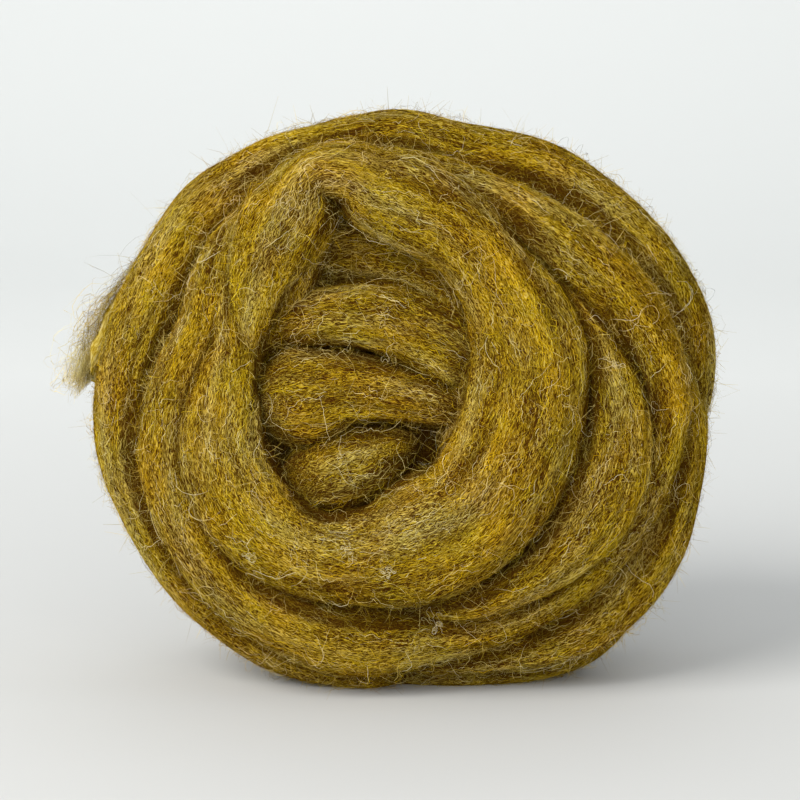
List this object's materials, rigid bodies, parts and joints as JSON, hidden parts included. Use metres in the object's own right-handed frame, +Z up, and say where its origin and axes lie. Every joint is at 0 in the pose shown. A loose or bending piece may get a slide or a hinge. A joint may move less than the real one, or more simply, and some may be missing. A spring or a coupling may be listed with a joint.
{
  "type": "wool roving",
  "caption": "Nest of heathered wool roving: a thick soft strand wound into a round body that stands on its rim, its inner end folded in a shallow hole, with a short ragged loose end.",
  "frame": {"origin": "under the middle of the whole part's box, on the surface that it stands on", "axes": "+Z up, +Y away from the side that shows the hole, along the middle of the winding, +X to the right as that side is seen"},
  "size_m": [0.1264, 0.079, 0.1132],
  "materials": {
    "wool": "matt heathered mustard wool of fine crinkled fibres, with olive, umber and cream ones mixed in",
    "end_wool": "the same wool, thinned out and paler where the light comes through"
  },
  "bodies": {
    "root": {"wound_roving": "wool", "loose_end": "end_wool"}
  },
  "joints": []
}
